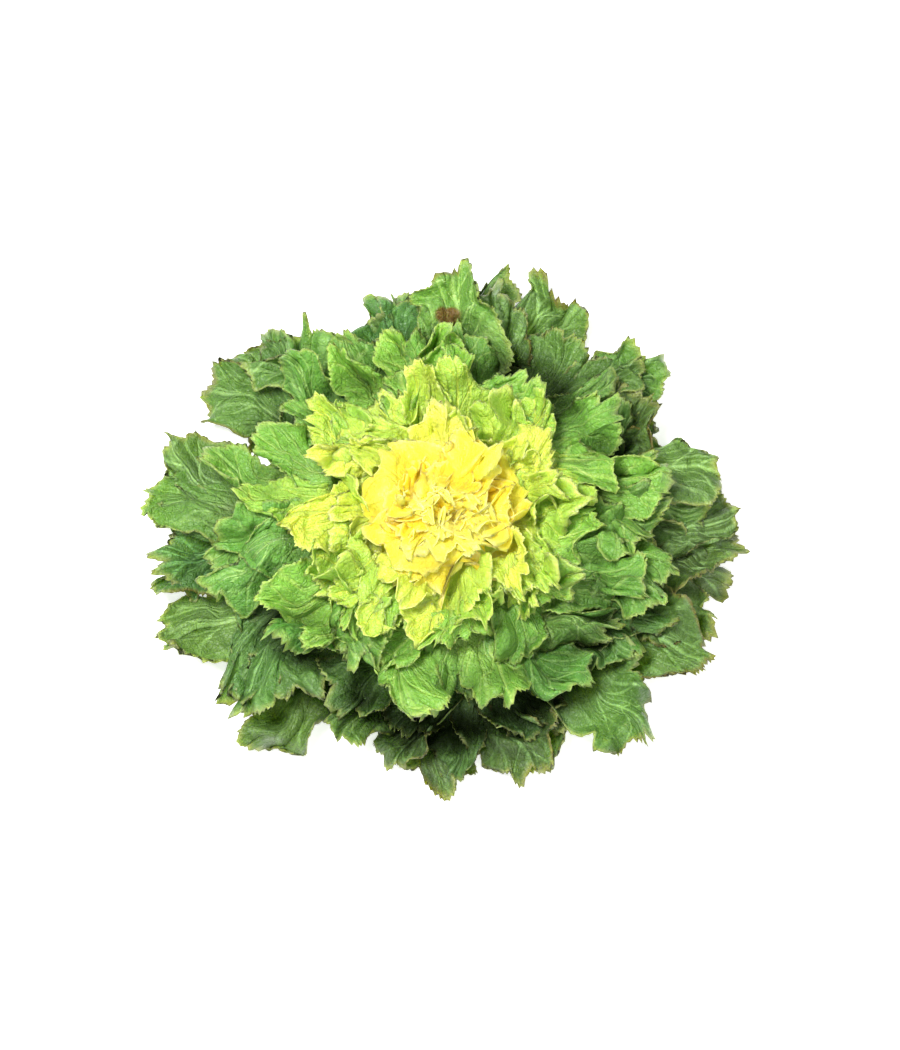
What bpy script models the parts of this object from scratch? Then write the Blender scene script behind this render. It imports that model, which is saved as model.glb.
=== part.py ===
"""Curly endive head, standing on its cut stem, as a solid model for Blender 4.5.

Units are metres, +Z is up and the origin is the middle of the cut face under the stem.
The head is a short stem with four sets of leaves round it: outer, middle, inner and heart.
Each leaf is one thin blade. Its rib is an arc that leaves the stem at a base slope and ends on
a dome, and the blade widens into a toothed, ruffled fan near its end.
"""

import math
import random

import bmesh
import bpy
import numpy as np

# The head as a whole
HEAD_REACH = 0.160
DOME_TOP = 0.112
RIM_HEIGHT = 0.010
DOME_ROUNDNESS = 1.7
GOLDEN_ANGLE = math.radians(137.508)
SEED = 41

# How far the head reaches to each side: the photo shows it wide, and shortest in front
REACH_SIDE = -0.005
REACH_BACK = 0.0085
REACH_WIDE = 0.0117

# Ends of the lowest leaves as the photo shows them: azimuth in degrees, reach, and how far the
# end is turned up
RIM_LEAVES = (
    (356, 0.171, 0.004), (29, 0.149, 0.014), (46, 0.170, 0.008), (69, 0.176, 0.010), (77, 0.156, 0.016),
    (83, 0.169, 0.024), (100, 0.144, 0.008), (112, 0.160, 0.006), (132, 0.174, 0.004),
    (141, 0.175, 0.006), (173, 0.184, 0.008), (183, 0.174, 0.004), (203, 0.184, 0.002),
    (216, 0.164, 0.000), (231, 0.168, 0.000), (248, 0.134, 0.000), (265, 0.147, 0.000),
    (287, 0.151, 0.002), (318, 0.182, 0.002), (330, 0.168, 0.004), (344, 0.170, 0.002),
)
RIM_STEP = 8
OUTER_SAGS = (0.65, 0.92)

# The head as it has settled: slow rises and dips that all leaves share
UNEVEN = 0.0065
UNEVEN_PER_METRE = (58.0, 49.0)
UNEVEN_START = (0.7, 2.1)
UNEVEN_RADII = (0.028, 0.100)
UNEVEN_HEIGHTS = (0.004, 0.045)

# How far one leaf strays from its set's mean
ARCH_STRAY = 1.0
WIDTH_STRAY = (0.88, 1.12)
REACH_STRAY = (0.94, 1.06)
RUFFLE_STRAY = (0.8, 1.15)
WAVES = (7.0, 9.0)
SWAY = 0.12
ROLL = 0.05
AZIMUTH_STRAY = 0.1

# One leaf, as shares of its length or half width
STALK_SHARE = 0.13
STALK_END = 0.22
FAN_START = 0.42
FAN_FULL = 0.74
END_NARROWING = 0.22
END_ROUNDING = 0.13
TOOTH_OUT = 0.075
TOOTH_END = 0.018
TEETH_START = 0.36
BLADE_THICKNESS = 0.0009
STALK_THICKNESS = 0.0015
STALK_THINS = (0.0, 0.5)
LIFT_FROM = 0.55
FOLD_EASE = 0.02
WRAP_RADIUS = 0.024
FLOOR_CLEARANCE = 0.0004
LEAST_RADIUS = 0.003
ROW_SPACING = 0.8

# The stem and the ring of leaf bases round it
STEM_RADIUS = 0.0165
STEM_TOP_RADIUS = 0.0085
STEM_TOP = 0.031
STEM_BEVEL = 0.0012
RING_WALL = 0.0042
RING_BEVEL = 0.001
JOIN_GAP = 0.0004
ROOT_DEPTH = 0.0018
TURN_STEPS = 16
MERGE_DISTANCE = 1e-6
CORE_TOP = 0.088
CORE_WAIST = 0.058
CORE_STEPS = (0.5, 0.85, 0.98)
CORE_RADIUS = 0.0150
CORE_FOOT_RADIUS = 0.0095


class LeafSet:
    """One set of leaves, from its outermost to its innermost."""

    def __init__(self, name, count, ages, roots, arches, widths, lifts, ruffle, strips, ring, colour):
        self.name = name
        self.count = count
        self.ages = ages
        self.roots = roots
        self.arches = arches
        self.widths = widths
        self.lifts = lifts
        self.ruffle = ruffle
        self.strips = strips
        self.ring = ring
        self.colour = colour


# How many strips each row of points has, from the root to the end
BROAD = (1, 2, 4, 4, 6, 6, 6)
PLAIN = (1, 2, 4, 4, 4, 4, 4)
SMALL = (1, 2, 4, 4, 4)

LEAF_SETS = (
    LeafSet("outer_leaves", 28, (1.0, 0.73), (0.0035, 0.0110), (5, 12), (0.031, 0.031), (0.0, 0.006),
            0.0042, BROAD, (0.0016, 0.0128), (0.10, 0.27, 0.05)),
    LeafSet("middle_leaves", 26, (0.68, 0.48), (0.0150, 0.0190), (16, 17), (0.031, 0.029), (0.0, 0.006),
            0.0042, PLAIN, (0.0134, 0.0208), (0.20, 0.45, 0.07)),
    LeafSet("inner_leaves", 22, (0.43, 0.27), (0.0242, 0.0292), (14, 9), (0.027, 0.024), (-0.002, 0.002),
            0.0034, PLAIN, (0.0224, 0.0306), (0.45, 0.66, 0.10)),
    LeafSet("heart_leaves", 26, (0.21, 0.01), (0.052, 0.085), (5, -12), (0.021, 0.012), (-0.001, 0.002),
            0.0026, SMALL, (0.0312, CORE_TOP), (0.86, 0.78, 0.18)),
)


def clear_scene():
    for obj in list(bpy.data.objects):
        bpy.data.objects.remove(obj)


def between(pair, share):
    return pair[0] + (pair[1] - pair[0]) * share


def smooth_step(low, high, value):
    share = np.clip((value - low) / (high - low), 0.0, 1.0)
    return share * share * (3.0 - 2.0 * share)


def material(name, colour, roughness):
    made = bpy.data.materials.new(name)
    made.use_nodes = True
    shader = made.node_tree.nodes["Principled BSDF"]
    shader.inputs["Base Color"].default_value = (*colour, 1.0)
    shader.inputs["Roughness"].default_value = roughness
    shader.inputs["Metallic"].default_value = 0.0
    return made


def stem_radius(height):
    return between((STEM_RADIUS, STEM_TOP_RADIUS), min(1.0, height / STEM_TOP))


def core_radius(height):
    """Radius of the heart's core: a cone from its foot to its waist, and half an egg above."""
    if height < CORE_WAIST:
        return between((CORE_FOOT_RADIUS, CORE_RADIUS), (height - STEM_TOP) / (CORE_WAIST - STEM_TOP))
    rise = min(1.0, (height - CORE_WAIST) / (CORE_TOP - CORE_WAIST))
    return CORE_RADIUS * math.sqrt(1.0 - rise * rise)


def root_surface(height):
    """Radius of what the leaf bases are sunk into at this height: a ring, or the heart's core."""
    return stem_radius(height) + RING_WALL if height < STEM_TOP else core_radius(height)


def reach_share(azimuth):
    """How far the head reaches on this side, against its mean reach."""
    uneven = (REACH_SIDE * math.cos(azimuth) + REACH_BACK * math.sin(azimuth)
              + REACH_WIDE * math.cos(2.0 * azimuth))
    return 1.0 + uneven / HEAD_REACH


class Leaf:
    """Where one leaf stands and what sets it apart from its neighbours."""

    def __init__(self, leaf_set, share, azimuth, reach, draw):
        age = between(leaf_set.ages, share)
        sag = between(OUTER_SAGS, share) if leaf_set is LEAF_SETS[0] else 1.0
        turn = math.radians(90.0) * age
        flat = 2.0 / DOME_ROUNDNESS
        self.azimuth = azimuth
        tip_radius = reach * math.sin(turn) ** flat
        tip_height = RIM_HEIGHT + (DOME_TOP - RIM_HEIGHT) * sag * math.cos(turn) ** flat
        self.root_height = between(leaf_set.roots, share)
        self.root_radius = root_surface(self.root_height) - ROOT_DEPTH
        run = tip_radius - self.root_radius
        rise = tip_height - self.root_height
        self.arch = math.radians(between(leaf_set.arches, share) + draw.uniform(-ARCH_STRAY, ARCH_STRAY))
        chord = math.hypot(run, rise)
        self.length = chord * self.arch / math.sin(self.arch)
        self.slope = math.atan2(rise, run) + self.arch
        self.half_width = between(leaf_set.widths, share) * draw.uniform(*WIDTH_STRAY)
        self.ruffle = leaf_set.ruffle * draw.uniform(*RUFFLE_STRAY)
        self.waves = draw.uniform(*WAVES)
        self.phase = draw.uniform(0.0, 2.0 * math.pi)
        self.sway = draw.uniform(-SWAY, SWAY)
        self.roll = draw.uniform(-ROLL, ROLL)
        self.lift = draw.uniform(*leaf_set.lifts)


def leaves_of(leaf_set, first):
    """The leaves of a set, by the golden angle. The lowest ones end where the photo shows them."""
    leaves = []
    for i in range(leaf_set.count):
        draw = random.Random(SEED * 1000 + first + i)
        share = i / (leaf_set.count - 1)
        azimuth = (first + i) * GOLDEN_ANGLE + draw.uniform(-AZIMUTH_STRAY, AZIMUTH_STRAY)
        reach = HEAD_REACH * reach_share(azimuth) * draw.uniform(*REACH_STRAY)
        if first + i < len(RIM_LEAVES):
            degrees, reach, lift = RIM_LEAVES[(first + i) * RIM_STEP % len(RIM_LEAVES)]
            leaf = Leaf(leaf_set, share, math.radians(degrees), reach, draw)
            leaf.lift = lift
        else:
            leaf = Leaf(leaf_set, share, azimuth, reach, draw)
        leaves.append(leaf)
    return leaves


def blade_row(leaf, along, strips, row_tooth, is_end):
    """Points of one row of the blade as the middle surface and half its thickness, across."""
    across = np.linspace(-1.0, 1.0, strips + 1)
    half = leaf.half_width * between((STALK_SHARE, 1.0), smooth_step(STALK_END, FAN_FULL, along))
    half *= 1.0 - END_NARROWING * along**6
    x = across * half
    s = leaf.length * along * (1.0 - END_ROUNDING * across**2 * along**3)
    if along > TEETH_START:
        x[[0, -1]] *= 1.0 + TOOTH_OUT * row_tooth
    if is_end:
        s += leaf.length * TOOTH_END * np.where(np.arange(strips + 1) % 2 == 1, 1.0, -1.0)

    fan_x = x / leaf.half_width
    fan_y = max(0.0, (along - FAN_START) / (1.0 - FAN_START))
    spread = fan_x**2 + fan_y**2
    angle = np.arctan2(fan_x, fan_y + FOLD_EASE)
    h = leaf.ruffle * spread * np.sin(leaf.waves * angle + leaf.phase)
    h += leaf.roll * x * along
    h += leaf.lift * smooth_step(LIFT_FROM, 1.0, along)

    bend = leaf.arch * s / leaf.length
    chord = s * np.sinc(bend / math.pi)
    slope = leaf.slope - 2.0 * bend
    radius = leaf.root_radius + chord * np.cos(leaf.slope - bend)
    azimuth = leaf.azimuth + leaf.sway * along**2 + x / np.maximum(radius, WRAP_RADIUS)
    radius = np.maximum(radius - h * np.sin(slope), LEAST_RADIUS)
    height = leaf.root_height + chord * np.sin(leaf.slope - bend) + h * np.cos(slope)
    thick = 0.5 * between((STALK_THICKNESS, BLADE_THICKNESS), smooth_step(*STALK_THINS, along))
    height = np.maximum(height, FLOOR_CLEARANCE + thick)
    return radius, height, azimuth, slope, thick


def settled(radius, azimuth, height):
    """A point of the head moved by the slow rises and dips that all leaves share."""
    x = radius * math.cos(azimuth)
    y = radius * math.sin(azimuth)
    share = smooth_step(*UNEVEN_RADII, radius) * smooth_step(*UNEVEN_HEIGHTS, height)
    wave = (math.sin(UNEVEN_PER_METRE[0] * x + UNEVEN_START[0])
            + math.sin(UNEVEN_PER_METRE[1] * y + UNEVEN_START[1]))
    return x, y, height + UNEVEN * 0.5 * share * wave


def strip_triangles(first, second):
    """Triangles between two rows of points that run the same way with unlike counts."""
    triangles = []
    i = j = 0
    while i < len(first) - 1 or j < len(second) - 1:
        here = (i + 1) / (len(first) - 1) if i < len(first) - 1 else 2.0
        there = (j + 1) / (len(second) - 1) if j < len(second) - 1 else 2.0
        if here < there or (here == there and (i + j) % 4 == 0):
            triangles.append((first[i], first[i + 1], second[j]))
            i += 1
        else:
            triangles.append((first[i], second[j + 1], second[j]))
            j += 1
    return triangles


def blade_mesh(leaf, strips):
    """One closed blade: both faces with the same triangles, and a wall round the rim."""
    mesh = bmesh.new()
    top, under = [], []
    last = len(strips) - 1
    for row, count in enumerate(strips):
        along = (row / last) ** ROW_SPACING
        tooth = 1.0 if (last - row) % 2 == 1 else -1.0
        radius, height, azimuth, slope, thick = blade_row(leaf, along, count, tooth, row == last)
        for side, rows in ((1.0, top), (-1.0, under)):
            out = radius - side * thick * np.sin(slope)
            up = height + side * thick * np.cos(slope)
            rows.append([mesh.verts.new(settled(r, a, z)) for r, a, z in zip(out, azimuth, up)])
    for row in range(last):
        for triangle in strip_triangles(top[row], top[row + 1]):
            mesh.faces.new(triangle)
        for triangle in strip_triangles(under[row], under[row + 1]):
            mesh.faces.new(reversed(triangle))
    upper_rim, lower_rim = [
        side[0][:-1] + [row[-1] for row in side[:-1]] + side[-1][:0:-1] + [row[0] for row in side[:0:-1]]
        for side in (top, under)]
    for k, here in enumerate(upper_rim):
        after = (k + 1) % len(upper_rim)
        mesh.faces.new((upper_rim[after], here, lower_rim[k]))
        mesh.faces.new((upper_rim[after], lower_rim[k], lower_rim[after]))
    bmesh.ops.recalc_face_normals(mesh, faces=mesh.faces)
    return mesh


def object_from(name, mesh):
    data = bpy.data.meshes.new(name)
    mesh.to_mesh(data)
    mesh.free()
    obj = bpy.data.objects.new(name, data)
    bpy.context.scene.collection.objects.link(obj)
    return obj


def turned(name, profile, closed):
    """A solid turned round Z from (radius, height) points. A closed profile is a ring's section."""
    mesh = bmesh.new()
    points = [mesh.verts.new((r, 0.0, z)) for r, z in profile]
    pairs = list(zip(points, points[1:]))
    if closed:
        pairs.append((points[-1], points[0]))
    edges = [mesh.edges.new(pair) for pair in pairs]
    bmesh.ops.spin(mesh, geom=points + edges, angle=2.0 * math.pi, steps=TURN_STEPS, axis=(0, 0, 1),
                   cent=(0, 0, 0), use_merge=True)
    bmesh.ops.remove_doubles(mesh, verts=mesh.verts, dist=MERGE_DISTANCE)
    bmesh.ops.recalc_face_normals(mesh, faces=mesh.faces)
    return object_from(name, mesh)


def ring_of_bases(leaf_set):
    """The ring that the leaf bases grow together in, or the small core of the heart."""
    low, high = leaf_set.ring
    if high > STEM_TOP:
        heights = [low, CORE_WAIST] + [between((CORE_WAIST, CORE_TOP), k) for k in CORE_STEPS]
        side = [(core_radius(height), height) for height in heights]
        return turned(leaf_set.name, [(0.0, low)] + side + [(0.0, CORE_TOP)], False)
    inner_low = stem_radius(low) + JOIN_GAP
    inner_high = stem_radius(high) + JOIN_GAP
    section = ((inner_low, low), (inner_low + RING_WALL, low + RING_BEVEL),
               (inner_high + RING_WALL, high - RING_BEVEL), (inner_high, high))
    return turned(leaf_set.name, section, True)


def signed_volume(faces):
    return sum(f.verts[0].co.dot(f.verts[1].co.cross(f.verts[2].co)) for f in faces)


def keep_largest_skin(obj):
    """Fills pockets that the joining sealed and drops loose scraps: only the largest skin stays."""
    mesh = bmesh.new()
    mesh.from_mesh(obj.data)
    bmesh.ops.triangulate(mesh, faces=mesh.faces)
    left = set(mesh.faces)
    skins = []
    while left:
        front = [left.pop()]
        skin = list(front)
        while front:
            face = front.pop()
            for edge in face.edges:
                if len(edge.link_faces) > 2:
                    continue
                for beside in edge.link_faces:
                    if beside in left:
                        left.remove(beside)
                        front.append(beside)
                        skin.append(beside)
        skins.append(skin)
    skins.sort(key=signed_volume)
    extra = [face for skin in skins[:-1] for face in skin]
    bmesh.ops.delete(mesh, geom=extra, context="FACES")
    mesh.to_mesh(obj.data)
    mesh.free()


def join_leaves(leaf_set, leaves):
    """Fuses the leaves of a set with their ring, by one union on a collection."""
    body = ring_of_bases(leaf_set)
    group = bpy.data.collections.new(leaf_set.name + "_blades")
    bpy.context.scene.collection.children.link(group)
    for i, leaf in enumerate(leaves):
        blade = object_from(f"{leaf_set.name}_{i}", blade_mesh(leaf, leaf_set.strips))
        bpy.context.scene.collection.objects.unlink(blade)
        group.objects.link(blade)
    union = body.modifiers.new("Leaves", "BOOLEAN")
    union.operation = "UNION"
    union.operand_type = "COLLECTION"
    union.collection = group
    union.solver = "MANIFOLD"
    graph = bpy.context.evaluated_depsgraph_get()
    joined = bpy.data.meshes.new_from_object(body.evaluated_get(graph))
    body.modifiers.clear()
    body.data = joined
    for blade in list(group.objects):
        bpy.data.objects.remove(blade)
    bpy.data.collections.remove(group)
    keep_largest_skin(body)
    body.data.materials.clear()
    body.data.materials.append(material(leaf_set.name, leaf_set.colour, 0.45))
    return body


def make_stem():
    """The short stem: a flat cut face below, a bevelled edge, and a taper to its top."""
    stem = turned("stem", ((0.0, 0.0), (STEM_RADIUS - STEM_BEVEL, 0.0), (stem_radius(STEM_BEVEL), STEM_BEVEL),
                           (STEM_TOP_RADIUS, STEM_TOP), (0.0, STEM_TOP)), False)
    stem.data.materials.append(material("stem", (0.80, 0.76, 0.58), 0.6))
    return stem


def main():
    clear_scene()
    make_stem()
    first = 0
    for leaf_set in LEAF_SETS:
        join_leaves(leaf_set, leaves_of(leaf_set, first))
        first += leaf_set.count


main()
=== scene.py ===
"""Curly endive head: its leaves, stem, light and camera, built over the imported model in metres.

Each set of leaves is two meshes, its lower and its upper half. A plan holds one point for each leaf,
with the numbers that shape it as attributes, and a Geometry Nodes tree puts a blank blade on each
point and bends it.
"""

import math
import random
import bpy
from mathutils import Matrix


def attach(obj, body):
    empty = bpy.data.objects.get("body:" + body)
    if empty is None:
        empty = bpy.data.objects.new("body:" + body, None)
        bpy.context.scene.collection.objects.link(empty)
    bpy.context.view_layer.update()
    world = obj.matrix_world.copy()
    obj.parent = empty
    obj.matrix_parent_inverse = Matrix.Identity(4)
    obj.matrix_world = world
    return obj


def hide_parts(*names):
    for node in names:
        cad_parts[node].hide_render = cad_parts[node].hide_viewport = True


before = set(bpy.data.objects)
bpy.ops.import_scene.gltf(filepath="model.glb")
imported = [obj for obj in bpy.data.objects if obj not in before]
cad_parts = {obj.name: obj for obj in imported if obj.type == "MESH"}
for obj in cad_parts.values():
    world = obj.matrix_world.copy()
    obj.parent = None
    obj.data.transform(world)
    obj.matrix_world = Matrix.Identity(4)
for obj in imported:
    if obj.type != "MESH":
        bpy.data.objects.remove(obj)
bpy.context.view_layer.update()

from types import SimpleNamespace
from typing import NamedTuple

import bmesh
import bpy
from bpy.props import FloatProperty, FloatVectorProperty, IntProperty, PointerProperty
from mathutils import Vector

bl_info = {
    "name": "Curly Endive Head",
    "version": (1, 0, 0),
    "blender": (4, 5, 0),
    "location": "View3D > Sidebar > Endive",
    "description": "Builds a head of curly endive, leaf by leaf, with its cut stem, light and camera",
    "category": "Add Mesh",
}

# The head as a whole, as in the source of its solids: a dome that the leaf ends lie on
HEAD_REACH = 0.160
DOME_TOP = 0.112
RIM_HEIGHT = 0.010
DOME_ROUNDNESS = 1.7
GOLDEN_ANGLE = math.radians(137.508)
SEED = 41

# How far the head reaches to each side
REACH_SIDE = -0.005
REACH_BACK = 0.0085
REACH_WIDE = 0.0117

# Ends of the lowest leaves: azimuth in degrees, reach, and how far the end is turned up
RIM_LEAVES = (
    (356, 0.171, 0.004), (29, 0.149, 0.014), (46, 0.170, 0.008), (69, 0.176, 0.010), (77, 0.156, 0.016),
    (83, 0.169, 0.024), (100, 0.144, 0.008), (112, 0.160, 0.006), (132, 0.174, 0.004),
    (141, 0.175, 0.006), (173, 0.184, 0.008), (183, 0.174, 0.004), (203, 0.184, 0.002),
    (216, 0.164, 0.000), (231, 0.168, 0.000), (248, 0.134, 0.000), (265, 0.147, 0.000),
    (287, 0.151, 0.002), (318, 0.182, 0.002), (330, 0.168, 0.004), (344, 0.170, 0.002),
)
RIM_STEP = 8
OUTER_SAGS = (0.65, 0.92)

# The side of the head where leaves are a little paler, and how much: partly their own colour and partly
# painted light, as the light falls from this side
PALE_SIDE = math.radians(120.0)
PALE_TONE = 0.25

# How far one leaf strays from its set's mean, or the least and the most of what is drawn for it.
# Arches are in degrees, and other angles in radians.
ARCH_STRAY = 1.0
WIDTH_STRAY = (0.88, 1.12)
REACH_STRAY = (0.94, 1.06)
RUFFLE_STRAY = (0.8, 1.15)
WAVES = (7.0, 9.0)
SWAY = 0.12
ROLL = 0.05
TONE = 0.8
NUMBERS = (0.0, 100.0)
TWIST = 0.42
FOLDS = (-0.20, 0.30)
SHORTER = (0.86, 1.0)
TURN = 0.16
BEND = 0.30
BANK = 0.35
AZIMUTH_STRAY = 0.1
SMALL_AZIMUTH_STRAY = 0.5
SMALL_WIDTHS = (0.55, 0.85)
SMALL_SHARES = (0.1, 0.8)

# Places along one blade, as shares of its length: where its stalk ends and thins, its fan starts and
# has its full width, its end starts to round off and to lift, and its lobes and teeth begin
STALK_END = 0.22
STALK_THINS = (0.0, 0.5)
FAN_START = 0.42
FAN_FULL = 0.74
END_START = 0.6
LIFT_FROM = 0.55
FRINGE = (0.36, 0.52)

# At 0.5 the blade's end is half an ellipse, and at less it is squarer
ROUNDNESS = 0.5
STALK_SIDES_THIN = 0.6
FOLD_EASE = 0.02
RIM_BLEND = 0.1

# The blank blade's grid, whose rows crowd towards its end and whose columns towards its sides
ROW_SPACING = 0.62
COLUMN_CROWDING = 0.25
INSIDE = 0.9999
MERGE_DISTANCE = 0.0001

# A blade of this half width, at least this long, has its rim's waves and teeth at full size
FULL_HALF_WIDTH = 0.029
FULL_LENGTH = 0.040

# Lobes: wide bays and small scallops, as shares of the lobe depth. Here and below, four numbers say
# that noise from the first to the second makes a share from the third to the fourth.
BAY_SHARE = 0.85
BAY_LIMIT = 0.25
SCALLOP_SHARE = 0.26
SCALLOP_LEVEL = 0.7
SCALLOPS_PER_RADIAN = 8.0
SCALLOP_DRIFT = 3.6
LOBES_FROM = (0.45, 1.0)

# Teeth: each second point of the rim stands out
SIDE_TEETH = (0.90, 1.0)
END_TEETH = (0.86, 1.0)
TOOTH_UNEVEN = (-0.5, 0.7, 0.1, 1.6)
TOOTH_SHARE = 0.7
SMALL_TOOTH = 0.4

# Folds of the fan, heights and shifts in metres
WAVE_DRIFT = 0.45
WAVE_UNEVEN = (-0.6, 0.6, 0.1, 1.8)
FINE_WAVE = 0.35
FINE_WAVES = 2.3
WAVE_LEAN = 0.3
BUCKLE_HEIGHT = 0.022
DIMPLE_HEIGHT = 0.012
SHIFT_ACROSS = 0.016
SHIFT_ALONG = 0.018
CURL_SHORTENS = 0.6

# The slow rises and dips that all leaves share
UNEVEN = 0.0065
UNEVEN_PER_METRE = (58.0, 49.0)
UNEVEN_START = (0.7, 2.1)
UNEVEN_RADII = (0.028, 0.100)
UNEVEN_HEIGHTS = (0.004, 0.045)

# How far neighbouring leaves lean and sink together, fully from the second height on
WARP = 0.011
WARP_HEIGHTS = (0.02, 0.07)
SINK = 1.4
SINK_WHERE = (-0.5, 0.3, -1.0, 0.0)

# Blades wrap round the axis at this radius or more, and stay between the floor and the head's top
WRAP_RADIUS = 0.024
FLOOR_CLEARANCE = 0.0004
CEILING = 0.1135
CEILING_EASE = 0.010

# The stem, the ring of leaf bases round it and the core of the heart
STEM_RADIUS = 0.0165
STEM_TOP_RADIUS = 0.0085
STEM_TOP = 0.031
STEM_HEIGHTS = (0.0012, 0.006, 0.012, 0.018, 0.024, STEM_TOP)
CUT_SHARES = (0.3, 0.6, 0.85, 0.96)
RING_WALL = 0.0042
RING_FOOT = 0.003
RING_PROUD = 0.0004
RING_HEIGHTS = (0.0045, 0.008, 0.012, 0.016, 0.020, 0.024, 0.028, 0.0305)
ROOT_DEPTH = 0.0018
CORE_FOOT = 0.030
CORE_TOP = 0.088
CORE_WAIST = 0.058
CORE_RADIUS = 0.0150
CORE_FOOT_RADIUS = 0.0095
CORE_STEPS = 16
TURNED_SIDES = 96
FLUTE_TWIST = 40.0

# The floor; lights by name, place, size and power, and what they aim at; and the camera's aim,
# right and up from the middle of the head's foot, and how far it sees
FLOOR_HALF = 6.0
LIGHTS = (("window", (-0.42, 0.02, 1.6), 0.42, 40.0), ("fill", (0.5, -0.7, 1.4), 1.2, 8.0))
LIGHT_AIM = (0.0, 0.0, 0.04)
CAMERA_AIM = (0.0018, 0.0135)
FARTHEST = 20.0


class LeafSet(NamedTuple):
    """A set of leaves. Ages, roots, arches and half widths run from its lowest leaf to its innermost.

    An age of 1 is the lowest leaf's and 0 the innermost's. Roots are the heights of the leaf bases.
    An arch is half the angle, in degrees, that the rib bends by. Lifts and drops are the least and
    the most that ends rise and hang. Points are those of one blade, across and along.
    """

    name: str
    slot: str
    leaf_count: int
    small_count: int
    points: tuple
    ages: tuple
    roots: tuple
    arches: tuple
    half_widths: tuple
    lifts: tuple
    drops: tuple
    ruffle: float
    breadth: float


LEAF_SETS = (
    LeafSet("outer_leaves", "outer_leaf", leaf_count=28, small_count=20, points=(41, 45),
            ages=(1.0, 0.73), roots=(0.0035, 0.0110), arches=(5, 12), half_widths=(0.031, 0.031),
            lifts=(0.0, 0.006), drops=(-0.004, 0.010), ruffle=0.0042, breadth=0.92),
    LeafSet("middle_leaves", "middle_leaf", leaf_count=26, small_count=18, points=(39, 42),
            ages=(0.68, 0.48), roots=(0.0150, 0.0190), arches=(16, 17), half_widths=(0.031, 0.029),
            lifts=(0.0, 0.006), drops=(-0.003, 0.014), ruffle=0.0042, breadth=0.84),
    LeafSet("inner_leaves", "inner_leaf", leaf_count=22, small_count=22, points=(35, 37),
            ages=(0.43, 0.27), roots=(0.0242, 0.0292), arches=(14, 9), half_widths=(0.027, 0.024),
            lifts=(-0.002, 0.002), drops=(-0.002, 0.012), ruffle=0.0034, breadth=0.92),
    LeafSet("heart_leaves", "heart_leaf", leaf_count=26, small_count=10, points=(33, 33),
            ages=(0.21, 0.01), roots=(0.052, 0.085), arches=(28, 40), half_widths=(0.021, 0.012),
            lifts=(-0.006, 0.0), drops=(0.002, 0.017), ruffle=0.0060, breadth=1.25),
)


class Pattern(NamedTuple):
    """A noise pattern: its repeats in a metre or a radian, which of many it is, and its detail."""

    repeats: float
    number: float
    detail: float


def per_metre(millimetres):
    """How many repeats of this size go into a metre."""
    return 1000.0 / millimetres


# Patterns round a fan, in repeats per radian
BAYS = Pattern(2.4, 0.0, 2.0)
SCALLOP_PLACES = Pattern(1.5, 2.0, 1.0)
FRILLS = Pattern(7.0, 3.0, 2.0)
WAVE_PLACES = Pattern(1.3, 5.0, 1.0)
WAVE_HEIGHTS = Pattern(1.0, 6.0, 0.0)
TOOTH_SIZES = Pattern(14.0, 7.0, 2.0)
CURLS = Pattern(1.1, 11.0, 0.0)

# Patterns over a blade, in repeats per metre: 38, 16, 42, 42 and 10 mm
BUCKLES = Pattern(26.0, 15.0, 1.0)
DIMPLES = Pattern(62.0, 16.0, 1.0)
SHIFTS_ACROSS = Pattern(24.0, 17.0, 1.0)
SHIFTS_ALONG = Pattern(24.0, 18.0, 1.0)
CRINKLES = Pattern(105.0, 19.0, 2.0)

# Patterns over the head, in repeats per metre: 42, 42 and 31 mm
LEAN_TO_SIDE = Pattern(24.0, 31.0, 1.0)
LEAN_TO_BACK = Pattern(24.0, 32.0, 1.0)
HOLLOWS = Pattern(32.0, 33.0, 1.0)

# Patterns of the leaf tissue, from their size on a real blade. Grain stands for cells of the skin,
# and is drawn as coarse as it needs to show.
PATCHES = Pattern(per_metre(16.7), 3.0, 3.0)
GRAIN = Pattern(per_metre(2.38), 5.0, 3.0)
VEIN_WOBBLE = Pattern(per_metre(6.25), 8.0, 1.0)
BROWN_PLACES = Pattern(per_metre(41.7), 13.0, 2.0)
BLISTERS = Pattern(per_metre(5.26), 2.0, 3.0)
NET_PER_METRE = per_metre(3.03)

# What differs from leaf to leaf: how blue its green is, and how plainly its veins show
COOL_LEAVES = Pattern(3.0, 21.0, 0.0)
VEINED_LEAVES = Pattern(5.0, 27.0, 0.0)

# Veins, as many as would fill a full turn: at the rim of a wide fan the coarse ones are about 12 mm
# apart and the fine ones 5 mm, and side branches leave the rib about 22 mm apart
COARSE_VEINS = 15.0
FINE_VEINS = 34.0
BRANCHES = 13.0

# Patterns of the stem tissue. Strings of vessels are 1 mm wide and run upwards, and their rings in
# the cut face are 1.65 mm apart.
BLOTCHES = Pattern(per_metre(7.14), 1.0, 3.0)
STRINGS = Pattern(per_metre(4.55), 4.0, 2.0)
STRINGS_STRETCH = (4.0, 4.0, 0.4)
VESSEL_RINGS = 2.0 * math.pi * per_metre(1.65)
CUT_EDGE = (0.008, 0.016)
BROWNED_UP_TO = (0.0002, 0.0010)

# The withered spot at the back of the head, its depth against its width, and its soft edge
WILTED_SPOT = (0.0006, 0.1285)
WILTED_STRETCH = 0.6
WILTED_EDGE = (0.0035, 0.0055)

# Where the leaf colours of the settings stand between the innermost leaf (0) and the lowest (1)
BLADE_STOPS = {"blade_heart": 0.0, "blade_heart_edge": 0.17, "blade_inner": 0.25, "blade_lime": 0.33,
               "blade_young": 0.44, "blade_middle": 0.60, "blade_outer": 0.78, "blade_lowest": 1.0}
BASE_STOPS = {"base_heart": 0.0, "base_heart_edge": 0.2, "base_inner": 0.34, "base_young": 0.5,
              "base_outer": 0.75, "base_lowest": 1.0}
RIB_STOPS = {"rib_heart": 0.0, "rib_inner": 0.25, "rib_middle": 0.5, "rib_lowest": 1.0}


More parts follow.
